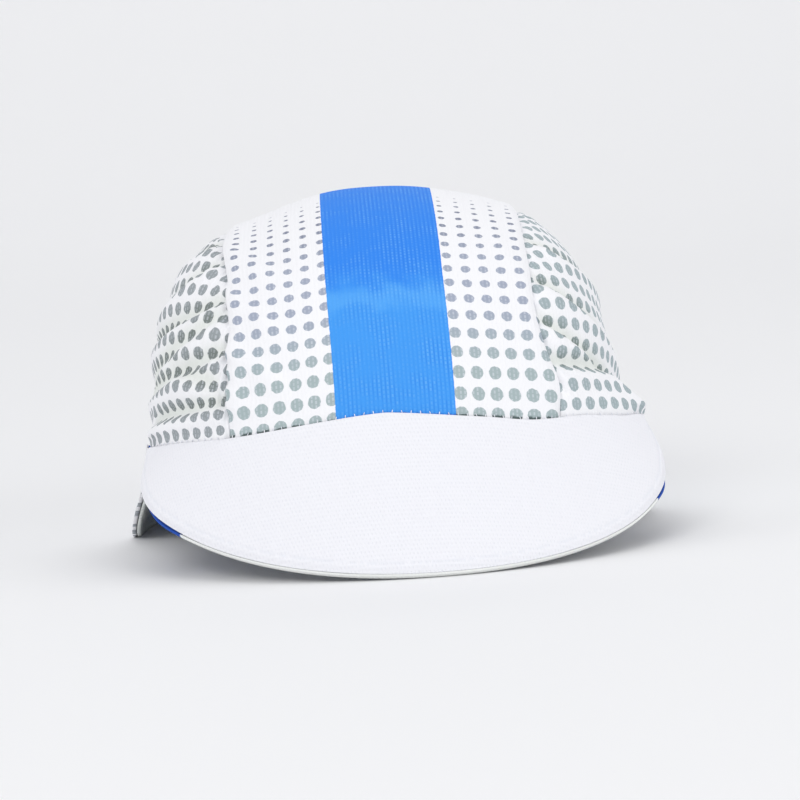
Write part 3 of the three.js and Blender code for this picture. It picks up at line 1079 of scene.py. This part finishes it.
def centreCloth():
    material = newMaterial("centreCloth", whiteCloth)
    tree = material.node_tree
    across, along = clothPlace(tree)
    height, dashes, crest = ribKnit(tree, across, along)
    ragged = waver(tree, across, along, 0.9, centreDots["ragged"])
    fromMiddle = calc(tree, "ABSOLUTE", across)
    right = calc(tree, "GREATER_THAN", across, 0.0)

    def pick(left, rightValue):
        return plus(tree, left, times(tree, right, rightValue - left))

    # The dots shrink row by row, so that each has an even share less of its area than the one below
    pitch = pick(centreDots["leftPitch"], centreDots["rightPitch"])
    start = pick(centreDots["leftStart"], centreDots["rightStart"])
    offAcross, _ = offGrid(tree, minus(tree, fromMiddle, start), pitch)
    row = markOf(tree, "dotRow")
    offRow, number = offGrid(tree, row, 1.0)
    offAlong = times(tree, offRow, centreDots["rowPitch"])
    area = minus(tree, 1.0, calc(tree, "DIVIDE", number, centreDots["lastRow"]))
    area = calc(tree, "MAXIMUM", area, 0.0)
    radius = times(tree, calc(tree, "SQRT", area), centreDots["radius"])
    shown = dotMask(tree, offAcross, offAlong, radius, ragged)
    shown = times(tree, shown, ease(tree, area, 0.01, 0.08))
    lowDot = mixTints(tree, ease(tree, row, 2.0, 6.0), centreDots["low"], centreDots["middle"])
    dot = mixTints(tree, ease(tree, row, 8.0, 14.0), lowDot, centreDots["high"])
    dot = mixTints(tree, times(tree, dashes, knit["onDots"]), dot, yarnLight)
    # Painted shade along the front seam, where the cloth turns under: the dots and the stripe darken there
    # in uneven patches
    patchy = times(tree, cloud(tree, across, along, 0.55), 1.6)
    atSeam = easeDown(tree, plus(tree, along, patchy), *centreDots["seam"])
    dot = mixTints(tree, atSeam, dot, centreDots["cut"])
    cloth = mixTints(tree, shown, whiteCloth, dot)

    # The stripe is painted lighter below, where the front faces the lamps, and darker above, where the
    # crown turns away, with a painted highlight band at the bend between; painted shade darkens the furrows
    # between its ribs, more in some places
    raggedAcross = plus(tree, fromMiddle, times(tree, ragged, 0.5))
    inStripe = easeDown(tree, raggedAcross, stripe["half"] - 0.1, stripe["half"] + 0.1)
    level = plus(tree, along, waver(tree, across, along, 0.12, stripe["uneven"]))
    blue = mixTints(tree, ease(tree, level, *stripe["change"]), stripe["lower"], stripe["upperShaded"])
    bandStart, bandFull, bandFade, bandEnd = stripe["band"]
    band = times(tree, ease(tree, level, bandStart, bandFull), easeDown(tree, level, bandFade, bandEnd))
    blue = mixTints(tree, times(tree, band, stripe["bandStrength"]), blue, stripe["light"])
    clear = times(tree, ease(tree, cloud(tree, across, along, 0.1), 0.35, 0.65), 0.3)
    clear = plus(tree, clear, times(tree, ease(tree, across, -20.0, 20.0), 0.15))
    # Painted shade in the furrows between the ribs
    furrowShade = times(tree, easeDown(tree, crest, 0.0, 0.6), clear)
    blue = mixTints(tree, furrowShade, blue, stripe["furrowShade"])
    blue = mixTints(tree, times(tree, dashes, plus(tree, clear, 0.08)), blue, stripe["dash"])
    # Painted shade where the stripe turns under at the front seam
    blue = mixTints(tree, atSeam, blue, stripe["edge"])
    finishCloth(tree, mixTints(tree, inStripe, cloth, blue), height, knit["depth"])
    return material


sideDots = {
    "radius": 2.15,
    "ragged": 0.5,
    "pitch": 6.2,
    # each side's dot tint, and a darker tint for painted shade in the fold hollows
    "left": {"across": 3.0, "along": 1.0, "tint": tint(157, 164, 168), "deep": tint(122, 131, 127)},
    "right": {"across": 0.9, "along": 1.8, "tint": tint(165, 180, 184), "deep": tint(126, 139, 134)},
}


def sideCloth(name):
    material = newMaterial(name + "SideCloth", whiteCloth)
    tree = material.node_tree
    across, along = clothPlace(tree)
    height, dashes, _ = ribKnit(tree, across, along)
    ragged = waver(tree, across, along, 0.9, sideDots["ragged"])
    dots = sideDots[name]
    offAcross, _ = offGrid(tree, minus(tree, across, dots["across"]), sideDots["pitch"])
    offAlong, _ = offGrid(tree, minus(tree, along, dots["along"]), sideDots["pitch"])
    shown = dotMask(tree, offAcross, offAlong, sideDots["radius"], ragged)
    # Painted shade in the hollows over the folds: the ground and the dots turn greyer and darker there
    hollow = markOf(tree, "hollow")
    ground = mixTints(tree, hollow, whiteCloth, shadedCloth)
    dot = mixTints(tree, hollow, dots["tint"], dots["deep"])
    dot = mixTints(tree, times(tree, dashes, knit["onDots"]), dot, yarnLight)
    finishCloth(tree, mixTints(tree, shown, ground, dot), height, knit["depth"])
    return material


# Turned cloth of the hem, with the wrong side of the dots showing faintly
hemTints = {"cloth": tint(232, 236, 232), "dash": tint(192, 199, 200)}


def hemCloth():
    material = newMaterial("hemCloth", hemTints["cloth"])
    tree = material.node_tree
    across, along = clothPlace(tree)
    height, dashes, _ = ribKnit(tree, across, along)
    worn = ease(tree, cloud(tree, across, along, 0.3), 0.4, 0.6)
    shown = times(tree, times(tree, dashes, worn), 0.8)
    cloth = mixTints(tree, shown, hemTints["cloth"], hemTints["dash"])
    finishCloth(tree, cloth, height, knit["depth"])
    return material


# White mesh knit of the peak: small eyelets in offset rows
peakKnit = {
    "across": 1.25,
    "along": 1.5,
    "white": tint(245, 245, 250),
    "eyelet": tint(240, 241, 247),
    "seam": tint(240, 241, 247),
    "seamBreaks": 1.1,
    "depth": 0.1,
}


def peakCloth():
    material = newMaterial("peakCloth", peakKnit["white"])
    tree = material.node_tree
    across, along = clothPlace(tree)
    line = calc(tree, "DIVIDE", along, peakKnit["along"])
    odd = times(tree, calc(tree, "MODULO", calc(tree, "FLOOR", line), 2.0), 0.5)
    place = plus(tree, calc(tree, "DIVIDE", across, peakKnit["across"]), odd)
    inAcross = calc(tree, "PINGPONG", times(tree, place, 2), 1)
    inAlong = calc(tree, "PINGPONG", times(tree, line, 2), 1)
    eye = times(tree, ease(tree, inAcross, 0.45, 0.95), ease(tree, inAlong, 0.2, 0.8))
    worn = cloud(tree, across, along, 0.35, 3.0)
    shown = times(tree, eye, ease(tree, worn, 0.3, 0.7))
    cloth = mixTints(tree, shown, peakKnit["white"], peakKnit["eyelet"])
    stitch = calc(tree, "FLOOR", calc(tree, "DIVIDE", across, peakKnit["seamBreaks"]))
    broken = ease(tree, speckle(tree, stitch, 5.0), 0.1, 0.5)
    seamed = times(tree, markOf(tree, "seamLine"), broken)
    cloth = mixTints(tree, seamed, cloth, peakKnit["seam"])
    finishCloth(tree, cloth, minus(tree, 1.0, eye), peakKnit["depth"])
    return material


# White thread with a fine twist
thread = {"light": tint(250, 250, 254), "dark": tint(226, 229, 238), "twist": 90}


def stitchThread():
    material = newMaterial("stitchThread", thread["light"], 0.6)
    tree = material.node_tree
    place = tree.nodes.new("ShaderNodeTexCoord")
    wave = tree.nodes.new("ShaderNodeTexWave")
    wave.bands_direction = "DIAGONAL"
    wave.inputs["Scale"].default_value = thread["twist"]
    tree.links.new(place.outputs["Object"], wave.inputs["Vector"])
    cloth = mixTints(tree, wave.outputs["Fac"], thread["dark"], thread["light"])
    tree.links.new(cloth, tree.nodes["Principled BSDF"].inputs["Base Color"])
    return material


# Under the peak the cloth is blue at both ends
lining = {
    "white": tint(244, 246, 243),
    "blue": tint(25, 80, 180),
    "dark": tint(20, 52, 120),
    "left": -76.5,
    "right": 95,
    "jag": 1.1,
}


def peakLining():
    material = newMaterial("peakLining", lining["white"])
    tree = material.node_tree
    across, along = clothPlace(tree)
    height, dashes, _ = ribKnit(tree, across, along)
    blue = mixTints(tree, times(tree, dashes, 0.4), lining["blue"], lining["dark"])
    place = plus(tree, across, waver(tree, across, along, 0.7, lining["jag"]))
    atLeft = easeDown(tree, place, lining["left"] - 0.2, lining["left"] + 0.2)
    atRight = ease(tree, place, lining["right"] - 0.2, lining["right"] + 0.2)
    cloth = mixTints(tree, calc(tree, "MAXIMUM", atLeft, atRight), lining["white"], blue)
    finishCloth(tree, cloth, height, knit["depth"])
    return material


# Floor and backdrop in one sweep
studio = {"width": 6.0, "front": -2.5, "flat": 1.2, "round": 1.0, "height": 3.0, "rows": 60}


def makeStudio():
    mesh = bmesh.new()
    made = bmesh.ops.create_grid(mesh, x_segments=2, y_segments=studio["rows"], size=1)["verts"]
    flat = studio["flat"] - studio["front"]
    arc = studio["round"] * math.pi / 2
    total = flat + arc + studio["height"]
    for vert in made:
        way = (vert.co.y + 1) / 2 * total
        angle = min(max((way - flat) / studio["round"], 0), math.pi / 2)
        y = studio["front"] + min(way, flat) + studio["round"] * math.sin(angle)
        z = studio["round"] * (1 - math.cos(angle)) + max(way - flat - arc, 0)
        vert.co = Vector((vert.co.x * studio["width"] / 2, y, z))
    floor = finishObject(mesh, "studioFloor", newMaterial("paleFloor", tint(247, 247, 248), 0.9))


# Lights and room, in metres
capMiddle = (0, 0, 0.05)
room = {"colour": (0.93, 0.94, 0.96, 1), "strength": 0.56}


def addLight(name, place, target, size, power):
    data = bpy.data.lights.new(name, "AREA")
    data.shape = "RECTANGLE"
    data.size, data.size_y = size
    data.energy = power
    lamp = bpy.data.objects.new(name, data)
    bpy.context.scene.collection.objects.link(lamp)
    lamp.location = place
    lamp.rotation_euler = (Vector(target) - Vector(place)).to_track_quat("-Z", "Y").to_euler()


def makeLights():
    addLight("keyLight", (-0.9, -2.0, 1.7), capMiddle, (1.6, 1.2), 19)
    addLight("fillLight", (1.6, -1.6, 1.0), capMiddle, (1.4, 1.4), 7.5)
    addLight("leftLight", (-2.0, -0.4, 0.8), capMiddle, (1.0, 1.0), 3)
    addLight("rightLight", (2.0, -0.4, 0.8), capMiddle, (1.0, 1.0), 4.5)
    addLight("topLight", (0, 0.2, 2.2), capMiddle, (2.0, 2.0), 7)
    addLight("backLight", (0, 1.9, 1.6), (0, 1.6, 0.1), (2.4, 0.5), 3.6)
    world = bpy.data.worlds.new("paleRoom")
    bpy.context.scene.world = world
    world.use_nodes = True
    background = world.node_tree.nodes["Background"]
    background.inputs["Color"].default_value = room["colour"]
    background.inputs["Strength"].default_value = room["strength"]
    bpy.context.scene.view_settings.view_transform = "Standard"


# Camera at the photo's angle: a little above the cap, rolled slightly
view = {
    "target": (0, 0, 47),
    "distance": 1150,
    "elevation": 6.5,
    "roll": 3.5,
    "picture": 800,
    "focus": 3220,  # pixels, as is the place of the target in the picture
    "centre": (385, 393),
    "sensor": 36,
    "nearest": 0.05,
}


def makeCamera():
    rise, roll = rad(view["elevation"]), rad(view["roll"])
    ahead = Vector((0, math.cos(rise), -math.sin(rise)))
    unrolled = Vector((0, math.sin(rise), math.cos(rise)))
    right = Vector((math.cos(roll), 0, 0)) - math.sin(roll) * unrolled
    upward = Vector((math.sin(roll), 0, 0)) + math.cos(roll) * unrolled
    scale = view["distance"] / view["focus"]
    aside = (view["picture"] / 2 - view["centre"][0]) * scale
    above = (view["centre"][1] - view["picture"] / 2) * scale
    place = Vector(view["target"]) + Vector(toFrame) - ahead * view["distance"]
    place = place + right * aside + upward * above
    data = bpy.data.cameras.new("camera")
    data.sensor_width = view["sensor"]
    data.lens = view["focus"] / view["picture"] * view["sensor"]
    data.clip_start = view["nearest"]
    camera = bpy.data.objects.new("camera", data)
    bpy.context.scene.collection.objects.link(camera)
    turned = Matrix((right, upward, -ahead)).transposed().to_4x4()
    camera.matrix_world = Matrix.Translation(place * mm) @ turned
    bpy.context.scene.camera = camera


makeCamera()
makeStudio()
makeLights()
print("camera, studio and lights are set")

centrePanel = makeCentrePanel(centreCloth())
print("centre panel is made")
sidePanelLeft = makeSidePanel(-1, sideCloth("left"))
sidePanelRight = makeSidePanel(1, sideCloth("right"))
print("side panels are made")
lines = peakLines()
peakTop = makePeakTop(lines, peakCloth())
peakUnder = makePeakUnder(lines, peakLining())
frontStitches = makeFrontStitches(lines, stitchThread())
print("peak is made")
hemBand = makeHemBand(hemCloth())
print("hem is made")

for piece, node, slot in (
    (centrePanel, "centre_panel", "centre_cloth"),
    (sidePanelLeft, "side_panel_left", "side_cloth"),
    (sidePanelRight, "side_panel_right", "side_cloth"),
    (peakTop, "peak_top", "peak_cloth"),
    (peakUnder, "peak_under", "peak_lining"),
    (hemBand, "hem_band", "hem_cloth"),
):
    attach(piece, "root")
    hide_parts(node)
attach(frontStitches, "root")
